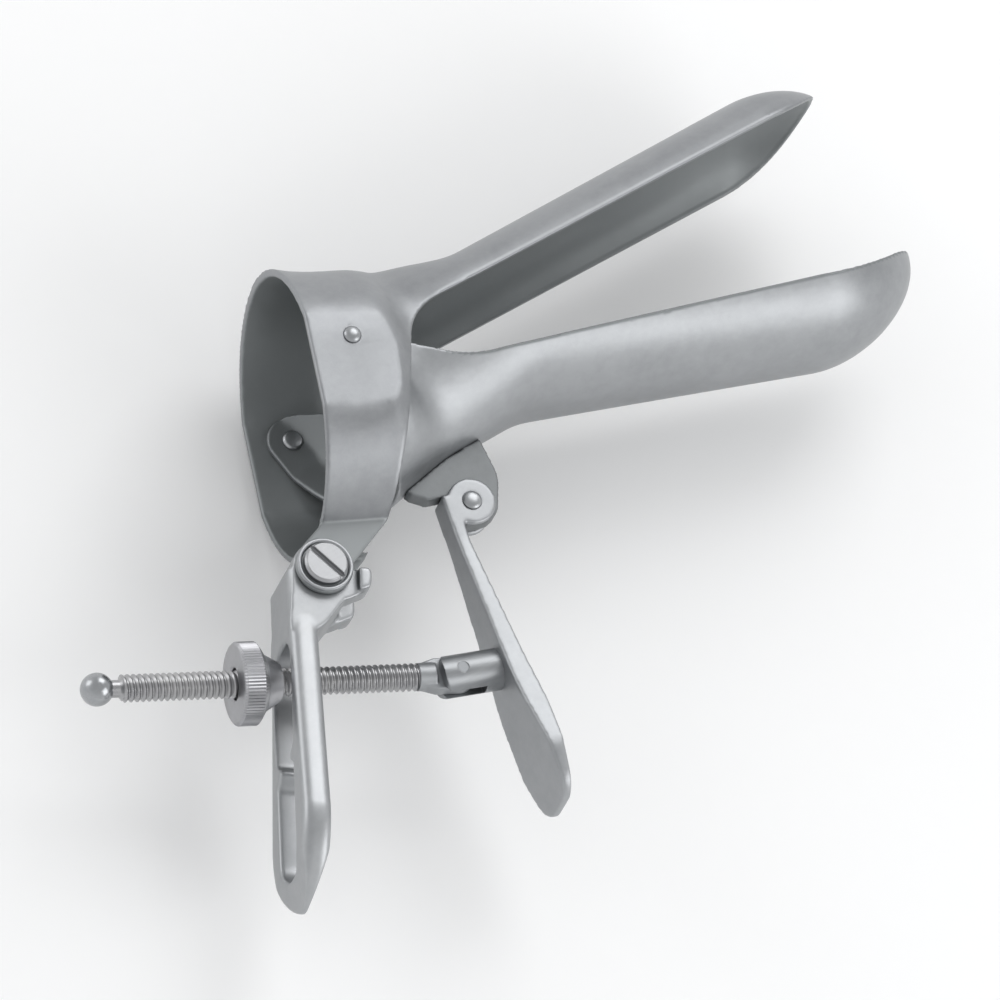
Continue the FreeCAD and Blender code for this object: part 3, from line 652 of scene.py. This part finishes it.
@dataclass
class Valves:
    """Two blades with their collar, lug, hinge rivets and handle screw."""

    cheek: float = 21.3
    rivet_radius: float = 1.55
    rivet_rise: float = 0.85
    rivet_shank: float = 1.1
    inner_face: float = 18.87
    inner_radius: float = 1.8
    inner_rise: float = 0.75
    tab_face: float = 8.0
    tab_clear: float = 0.3
    eye_radius: float = 4.9
    cell: float = 0.24
    passes: int = 8
    bend: float = -21.0
    blade_start: float = 18.0
    finishes: dict[str, Steel] = field(default_factory=lambda: {
        # Each valve's second, darker colour is its painted shade.
        "upper_valve": Steel(
            "upper_valve_steel", light=(0.35, 0.359, 0.371), dull=(0.292, 0.30, 0.312), gloss=0.43,
            painted_shade=(0.295, 0.31, 0.315),
        ),
        "lower_valve": Steel(
            "lower_valve_steel", light=(0.385, 0.395, 0.407), dull=(0.32, 0.33, 0.341), gloss=0.40,
            painted_shade=(0.25, 0.263, 0.268),
        ),
        # The lug's steel is a dark copy of the valve steel: painted shade on the lug plate.
        "lower_lug": Steel(
            "lug_steel", light=(0.22, 0.23, 0.235), dull=(0.18, 0.188, 0.192), gloss=0.46,
        ),
        "handle_screw": Steel(
            "screw_steel", light=(0.40, 0.405, 0.415), dull=(0.34, 0.345, 0.355), gloss=0.34,
            grain=Grain.ALONG,
        ),
    })

    def rivet(self, name: str, side: int, steel: bpy.types.Material) -> None:
        """Domed hinge rivet.

        Args:
            name: Name of the node that it stands for.
            side: 1 on the near side and -1 on the far side.
            steel: Finish of the rivet.
        """
        face = self.cheek
        top = self.rivet_radius
        inner = self.inner_face
        foot = 0.1
        sections = [
            (0.55 * self.inner_radius, inner - self.inner_rise),
            (0.85 * self.inner_radius, inner - 0.6),
            (self.inner_radius, inner - 0.25), (self.inner_radius, inner + 0.02),
            (self.rivet_shank, inner + 0.03), (self.rivet_shank, face), (top * 0.96, face),
            (top, face + foot),
        ]
        sections += dome(top, face + foot, self.rivet_rise - foot, (25, 45, 62, 76))
        piece = Bench.turned(name + "_dome", sections)
        place = Matrix.Rotation(0.0 if side > 0 else math.pi, 4, "X")
        Bench.finished(piece, place, Body.COLLAR, Slot.FASTENER, steel)
        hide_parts(name)

    def eye_ring(self, steel: bpy.types.Material) -> None:
        """Raised rim of the near tab's eye, round the head of the screw."""
        point, _ = joint_place("front_handle_pivot")
        face = self.tab_face
        outer = self.eye_radius
        profile = (
            (0.0, -0.02), (0.0, 0.22), (-0.14, 0.42), (-0.40, 0.50), (-0.66, 0.42), (-0.88, 0.16),
            (-0.90, -0.02), (0.0, -0.02),
        )
        sections = [(outer + across, face + rise) for across, rise in profile]
        piece = Bench.turned("tab_eye_rim", sections, 96, closed=False)
        place = Matrix.Translation((point.x, point.y, 0.0))
        Bench.finished(piece, place, Body.COLLAR, Slot.VALVE, steel)

    def form(
        self, node: str, body: Body, keep: float, soften: int, turn: float, middle: float,
    ) -> None:
        """Formed sheet of one valve, with rounded rims and painted shade: on the hollow side of
        both, on the lower blade's top rim, and on the upper valve's tabs.

        Args:
            node: Name of the node that it stands for.
            body: Body that carries it.
            keep: Share of its faces that stays.
            soften: Times its shallow creases are smoothed.
            turn: Angle in degrees of its blade's line about Z.
            middle: Height in millimetres of its middle line above the hinge.
        """
        upwards = Vector((-math.sin(math.radians(turn)), math.cos(math.radians(turn)), 0.0))
        onwards = Vector((upwards.y, -upwards.x, 0.0))
        crests: dict[int, float] = {}

        def painted_shade(point: Vector, normal: Vector) -> float:
            """Share of the painted shade, in the hollow, on the lower rim and on the tabs."""
            height = point.dot(upwards)
            spoke = upwards * (height - middle) + Vector((0.0, 0.0, point.z))
            # Painted shade in the hollow: faces that look in towards the middle line.
            inside = (-0.15 - normal.dot(spoke.normalized())) / 0.5
            if body is Body.LOWER_BLADE:
                # Painted shade along the lower blade's top rim: points within about half a
                # millimetre of its crest, and faces that look upwards.
                along = point.dot(onwards)
                below = height - crests[int(along)]
                band = (below + 0.75) / 0.25 if along > self.blade_start else 0.0
                return max(inside, (normal.dot(upwards) - 0.25) / 0.4, band)
            # Painted shade on the upper valve's tabs, below their bend.
            on_tab = abs(point.z) < self.tab_face + self.tab_clear
            tab = (self.bend - point.y) / 0.6 if on_tab else 0.0
            return max(inside, min(tab, 0.9))

        piece = Bench.copied(node, node + "_form")
        Bench.eased(piece, self.cell, self.passes, keep, soften, turn)
        for vertex in piece.data.vertices:
            step = int(vertex.co.dot(onwards) / MM)
            crests[step] = max(crests.get(step, -math.inf), vertex.co.dot(upwards) / MM)
        # Stores each point's share of painted shade, which the finish reads.
        Bench.painted(piece, "painted_shade", painted_shade)
        steel = dressed(node, self.finishes[node])
        Bench.finished(piece, Matrix.Identity(4), body, Slot.VALVE, steel, FORM_ANGLE)
        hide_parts(node)

    def build(self) -> None:
        """Dresses the valves and adds their turned pieces."""
        dressed("handle_screw", self.finishes["handle_screw"])
        self.form("upper_valve", Body.COLLAR, 0.33, 600, 0.0, -3.0)
        self.form("lower_valve", Body.LOWER_BLADE, 0.42, 80, -14.8, 3.0)
        lug = Bench.copied("lower_lug", "lower_lug_form")
        Bench.eased(lug, 0.25, 6)
        lug_steel = dressed("lower_lug", self.finishes["lower_lug"])
        Bench.finished(lug, Matrix.Identity(4), Body.LOWER_BLADE, Slot.LUG, lug_steel, FORM_ANGLE)
        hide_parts("lower_lug")
        steel = Steel("rivet_steel", light=(0.40, 0.41, 0.42), gloss=0.30).material()
        self.rivet("hinge_rivet_near", 1, steel)
        self.rivet("hinge_rivet_far", -1, steel)
        self.eye_ring(Steel("eye_rim_steel", gloss=0.32).material())


@dataclass
class Handles:
    """Looped front handle and leaf-shaped rear handle with their pins."""

    pin_radius: float = 1.7
    pin_shank: float = 1.25
    pin_face: float = 2.86
    pin_rise: float = 0.6
    cell: float = 0.25
    passes: int = 16
    keep: float = 0.6
    finishes: dict[str, Steel] = field(default_factory=lambda: {
        "front_handle": Steel(
            "front_handle_steel", light=(0.44, 0.45, 0.46), dull=(0.375, 0.385, 0.397), gloss=0.40,
        ),
        "rear_handle": Steel("rear_handle_steel", gloss=0.40),
        "rod_clevis": Steel(
            "clevis_steel", light=(0.38, 0.39, 0.40), dull=(0.29, 0.30, 0.31), gloss=0.40,
            grain=Grain.ALONG,
        ),
        # The pin's steel is darkened so that its flat, lit head reads as dark as the clevis:
        # painted shade.
        "clevis_pin": Steel(
            "clevis_pin_steel", light=(0.26, 0.27, 0.28), dull=(0.24, 0.25, 0.26), gloss=0.36,
            edge=0.00008,
        ),
    })

    def pin(self, steel: bpy.types.Material) -> None:
        """Riveted pin of the rear handle with two domed heads."""
        point, _ = joint_place("rear_handle_pivot")
        shank = self.pin_shank
        face = self.pin_face
        foot = 0.05
        head = dome(self.pin_radius, face + foot, self.pin_rise - foot, (0, 24, 48, 72))
        sections = [(radius, -height) for radius, height in reversed(head)]
        sections += [(shank, -face), (shank, face), *head]
        piece = Bench.turned("rear_handle_pin_domes", sections)
        Bench.finished(piece, Matrix.Translation(point), Body.LOWER_BLADE, Slot.FASTENER, steel)
        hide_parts("rear_handle_pin")

    def build(self) -> None:
        """Dresses the handles and adds the pin's domes."""
        steels = {node: dressed(node, finish) for node, finish in self.finishes.items()}
        forms = (
            ("front_handle", Body.FRONT_HANDLE, Slot.FRONT_HANDLE, -33.4),
            ("rear_handle", Body.REAR_HANDLE, Slot.REAR_HANDLE, -18.5),
        )
        for node, body, slot, turn in forms:
            piece = Bench.copied(node, node + "_form")
            Bench.eased(piece, self.cell, self.passes, self.keep, turn=turn)
            Bench.finished(piece, Matrix.Identity(4), body, slot, steels[node], FORM_ANGLE)
            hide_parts(node)
        self.pin(Steel("pin_steel", light=(0.40, 0.41, 0.42), gloss=0.30).material())


@dataclass
class RodAndNut:
    """Threaded rod with its ball, and the knurled nut with its cone."""

    pitch: float = 1.0583
    crest: float = 2.38
    root: float = 1.98
    start: float = 7.2
    end: float = 59.05
    lead: int = 2
    steps: int = 28
    neck: float = 1.5
    neck_length: float = 1.9
    tongue_cell: float = 0.15
    tongue_passes: int = 9
    tongue_turn: float = -25.9
    nut_radius: float = 7.1
    nut_length: float = 5.0
    seat_radius: float = 2.9
    teeth: int = 76
    tooth_depth: float = 0.18
    hole: float = 2.75

    def thread(self) -> bpy.types.Object:
        """Helical thread along the whole rod.

        Returns:
            The new object, along Z from the clevis pin.
        """
        Bench.clear()
        bpy.ops.mesh.primitive_grid_add(x_subdivisions=1, y_subdivisions=5, size=1.0)
        piece = bpy.context.object
        piece.name = "rod_thread"
        bpy.ops.object.mode_set(mode="EDIT")
        bpy.ops.mesh.select_all(action="DESELECT")
        bpy.ops.object.mode_set(mode="OBJECT")
        for vertex in piece.data.vertices:
            vertex.select = vertex.co.x > 0
        bpy.ops.object.mode_set(mode="EDIT")
        bpy.ops.mesh.select_mode(type="VERT")
        bpy.ops.mesh.delete(type="VERT")
        bpy.ops.object.mode_set(mode="OBJECT")
        chain = sorted(piece.data.vertices, key=lambda vertex: vertex.co.y)
        profile = (
            (self.root, 0.0), (self.root, 0.10), (self.crest, 0.45), (self.crest, 0.60),
            (self.root, 0.95), (self.root, 1.0),
        )
        for vertex, (radius, share) in zip(chain, profile):
            height = self.start + (share - self.lead) * self.pitch
            vertex.co = Vector((radius, 0.0, height)) * MM
        screw = piece.modifiers.new("helix", "SCREW")
        screw.axis = "Z"
        screw.steps = self.steps
        screw.render_steps = self.steps
        screw.screw_offset = self.pitch * MM
        screw.iterations = int((self.end - self.start) / self.pitch) + 2 * self.lead + 1
        screw.use_merge_vertices = True
        screw.merge_threshold = WELD
        Bench.hold(piece)
        bpy.ops.object.modifier_apply(modifier="helix")
        bpy.ops.object.mode_set(mode="EDIT")
        bpy.ops.mesh.select_all(action="SELECT")
        bpy.ops.mesh.remove_doubles(threshold=2 * WELD)
        bpy.ops.mesh.normals_make_consistent(inside=False)
        bpy.ops.object.mode_set(mode="OBJECT")
        Bench.cut(piece, Vector((0, 0, self.start * MM)), Vector((0, 0, -1)))
        Bench.cut(piece, Vector((0, 0, self.end * MM)), Vector((0, 0, 1)))
        return piece

    def ends(self, place: Matrix, steel: bpy.types.Material) -> list[bpy.types.Object]:
        """Flat bored tongue and the neck in front of the ball.

        Args:
            place: Matrix from the rod's own axis to its place.
            steel: Finish of the neck.

        Returns:
            Both pieces.
        """
        axis = (place.to_3x3() @ Vector((0, 0, 1))).normalized()
        origin = place.translation
        tongue = Bench.copied("threaded_rod", "rod_tongue")
        overlap = 0.05
        Bench.eased(tongue, self.tongue_cell, self.tongue_passes, turn=self.tongue_turn)
        Bench.cut(tongue, origin + axis * (self.start + overlap) * MM, axis)
        matt = Steel(
            "tongue_steel", light=(0.40, 0.41, 0.42), gloss=0.46, spread=0.05, relief=0.1,
        ).material()
        Bench.finished(tongue, Matrix.Identity(4), Body.ROD, Slot.ROD, matt, FORM_ANGLE)
        end = self.end
        sections = [
            (self.root, end - 0.3), (self.root + 0.1, end), (self.root - 0.15, end + 0.15),
            (self.neck, end + 0.5), (self.neck, end + self.neck_length),
        ]
        neck = Bench.turned("rod_neck", sections)
        Bench.finished(neck, place, Body.ROD, Slot.ROD, steel)
        return [tongue, neck]

    def knurled_nut(self) -> bpy.types.Object:
        """Round nut with a fine straight knurl, modelled along Z from its seat.

        Returns:
            The new object.
        """
        radius = self.nut_radius
        length = self.nut_length
        hole = self.hole
        seat = (self.seat_radius, 0.02)
        sections = [
            seat, (5.0, 0.0), (5.5, 0.3), (radius - 0.45, 1.05), (radius, 1.4),
            (radius, length - 0.55), (radius - 0.35, length - 0.16), (radius - 0.75, length),
            (hole + 0.35, length), (hole, length - 0.3), (hole - 0.1, length - 1.2),
            (hole - 0.1, 0.5), seat,
        ]
        piece = Bench.turned("nut_knurl", sections, self.teeth * 4, closed=False)
        low = radius - 0.6
        for vertex in piece.data.vertices:
            around = math.atan2(vertex.co.y, vertex.co.x) / math.tau * self.teeth
            away = math.hypot(vertex.co.x, vertex.co.y) / MM
            if away > low:
                wave = abs((around % 1.0) - 0.5) * 2.0
                depth = self.tooth_depth * wave * min(1.0, (away - low) / 0.4)
                share = (away - depth) / away
                vertex.co.x *= share
                vertex.co.y *= share
        return piece

    @staticmethod
    def seat(point: Vector, axis: Vector) -> float:
        """Distance of the seat cone's far face along the rod.

        Args:
            point: Start of the rod's axis.
            axis: Direction of the rod.

        Returns:
            The distance in metres.
        """
        cone = frame["nodes"]["nut_seat_cone"].data.vertices
        return max((vertex.co - point).dot(axis) for vertex in cone)

    def build(self) -> None:
        """Threads the rod, knurls the nut and dresses the ball and cone."""
        pivot, _ = joint_place("rod_swing")
        _, axis = joint_place("nut_spin")
        place = standing(pivot, axis)
        steel = Steel(
            "rod_steel", light=(0.46, 0.46, 0.46), dull=(0.36, 0.36, 0.37), gloss=0.30,
            relief=0.12, edge=0.00006,
        ).material()
        thread = Bench.finished(self.thread(), place, Body.ROD, Slot.ROD, steel, 20.0)
        pieces = [thread, *self.ends(place, steel)]
        for piece in pieces:
            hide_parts("threaded_rod")
        dressed("rod_ball", Steel("ball_steel", light=(0.45, 0.46, 0.47), gloss=0.28))
        nut_steel = dressed("nut_seat_cone", Steel(
            "nut_steel", light=(0.44, 0.44, 0.46), dull=(0.37, 0.372, 0.385), gloss=0.32,
            relief=0.15, edge=0.00008,
        ))
        spot = standing(pivot + axis * self.seat(pivot, axis), axis)
        nut = Bench.finished(self.knurled_nut(), spot, Body.NUT, Slot.NUT, nut_steel, 25.0)
        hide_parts("knurled_nut")


@dataclass
class Studio:
    """Pale floor, soft lamps and the camera."""

    drop: float = 0.0004
    size: float = 3.0
    horizon: Colour = (0.98, 0.985, 0.99)
    zenith: Colour = (0.64, 0.645, 0.65)
    lamp_distance: float = 0.85
    lens: float = 800.0
    sensor: float = 36.0
    frame_width: float = 0.1686
    aim: Place = (0.0159, -0.0317, -0.0004)
    right: Place = (0.7855, -0.5627, 0.2574)
    up: Place = (0.4229, 0.7918, 0.4406)
    towards: Place = (-0.4517, -0.2372, 0.8600)

    def floor(self) -> None:
        """Sheet of paper just under the instrument."""
        Bench.clear()
        level = CAD_BOX[0][2] - self.drop
        bpy.ops.mesh.primitive_plane_add(size=self.size, location=(0, 0, level))
        paper = bpy.context.object
        paper.name = "paper_floor"
        bpy.ops.object.transform_apply(location=True, rotation=True, scale=True)
        paper.data.materials.append(Backdrop().material())

    def lamp(self, name: str, direction: Place, size: float, power: float) -> None:
        """Square soft lamp that faces the instrument.

        Args:
            name: Name of the lamp.
            direction: Shares of the picture's right, its up and towards the camera.
            size: Side of the lamp in metres.
            power: Power in watts.
        """
        data = bpy.data.lights.new(name, "AREA")
        data.shape = "SQUARE"
        data.size = size
        data.energy = power
        lamp = bpy.data.objects.new(name, data)
        bpy.context.scene.collection.objects.link(lamp)
        axes = (self.right, self.up, self.towards)
        right, up, towards = (Vector(axis) * share for axis, share in zip(axes, direction))
        away = (right + up + towards).normalized()
        lamp.location = Vector(self.aim) + away * self.lamp_distance
        lamp.rotation_euler = away.to_track_quat("Z", "Y").to_euler()

    def sky(self) -> None:
        """Soft room light that falls off towards the horizon."""
        world = bpy.data.worlds.new("room")
        world.use_nodes = True
        bpy.context.scene.world = world
        tree = world.node_tree
        ground = tree.nodes["Background"]
        where = tree.nodes.new("ShaderNodeTexCoord").outputs["Generated"]
        split = tree.nodes.new("ShaderNodeSeparateXYZ")
        tree.links.new(where, split.inputs["Vector"])
        height = Wire(tree, split.outputs["Z"]).over(-0.1, 0.9)
        mix = tree.nodes.new("ShaderNodeMix")
        mix.data_type = "RGBA"
        mix.inputs["A"].default_value = (*self.horizon, 1.0)
        mix.inputs["B"].default_value = (*self.zenith, 1.0)
        tree.links.new(height.socket, mix.inputs["Factor"])
        tree.links.new(next(o for o in mix.outputs if o.type == "RGBA"), ground.inputs["Color"])
        ground.inputs["Strength"].default_value = 1.0

    def camera(self) -> None:
        """Long lens at the photograph's angle and roll."""
        data = bpy.data.cameras.new("photograph")
        data.lens = self.lens
        data.sensor_width = self.sensor
        data.clip_end = 10.0
        camera = bpy.data.objects.new("photograph", data)
        bpy.context.scene.collection.objects.link(camera)
        distance = self.frame_width * self.lens / self.sensor
        towards = Vector(self.towards).normalized()
        spot = Vector(self.aim) + towards * distance
        columns = Matrix((self.right, self.up, self.towards)).transposed().to_4x4()
        camera.matrix_world = Matrix.Translation(spot) @ columns
        bpy.context.scene.camera = camera

    def build(self) -> None:
        """Sets the floor, the light and the camera."""
        self.floor()
        self.sky()
        self.lamp("side", (0.82, -0.24, 0.50), 0.52, 1.9)
        self.lamp("top", (0.42, 0.86, 0.28), 0.50, 1.9)
        self.lamp("fill", (-0.78, 0.55, 0.30), 0.45, 0.9)
        self.camera()
        bpy.context.scene.view_settings.view_transform = "Standard"


def main() -> None:
    """Builds each sub-assembly in turn."""
    steps: list[tuple[str, Callable[[], None]]] = [
        ("valves", Valves().build), ("handles", Handles().build),
        ("rod and nut", RodAndNut().build), ("studio", Studio().build),
    ]
    for name, step in steps:
        LOG.info("building %s", name)
        step()


if __name__ == "__main__":
    main()
